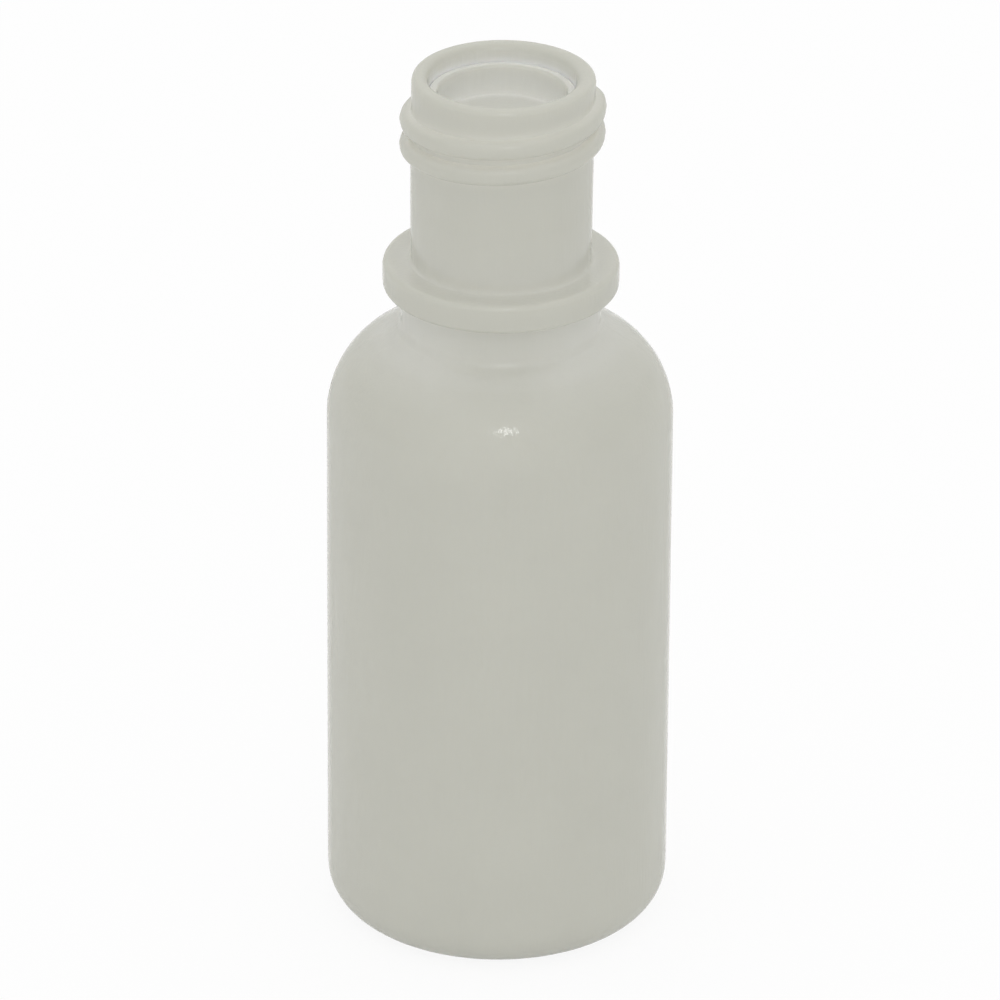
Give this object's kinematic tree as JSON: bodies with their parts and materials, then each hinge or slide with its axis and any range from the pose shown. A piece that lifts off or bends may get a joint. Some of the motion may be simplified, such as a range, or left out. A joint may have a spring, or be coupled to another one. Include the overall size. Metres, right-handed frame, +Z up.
{
  "type": "dropper bottle",
  "caption": "Squeeze dropper bottle: round translucent body, sloping shoulder, collared screw neck and a press-in dropper insert. Its cap is off.",
  "frame": {"origin": "middle of the foot, on the surface that the bottle stands on", "axes": "+Z up the bottle's axis to its mouth; X and Z lie in the parting plane of the blow mould"},
  "size_m": [0.022, 0.022, 0.0582],
  "materials": {
    "bottle_plastic": "natural low-density polyethylene, milky and translucent, with a soft waxy sheen",
    "insert_plastic": "natural low-density polyethylene, milky and translucent, with a soft waxy sheen"
  },
  "bodies": {
    "bottle": {"bottle": "bottle_plastic"},
    "insert": {"dropper_insert": "insert_plastic"}
  },
  "joints": [
    {"name": "insert_pull", "type": "slide", "parent": "bottle", "child": "insert", "axis": [0, 0, 1], "range_m": [0, 0.02]}
  ]
}
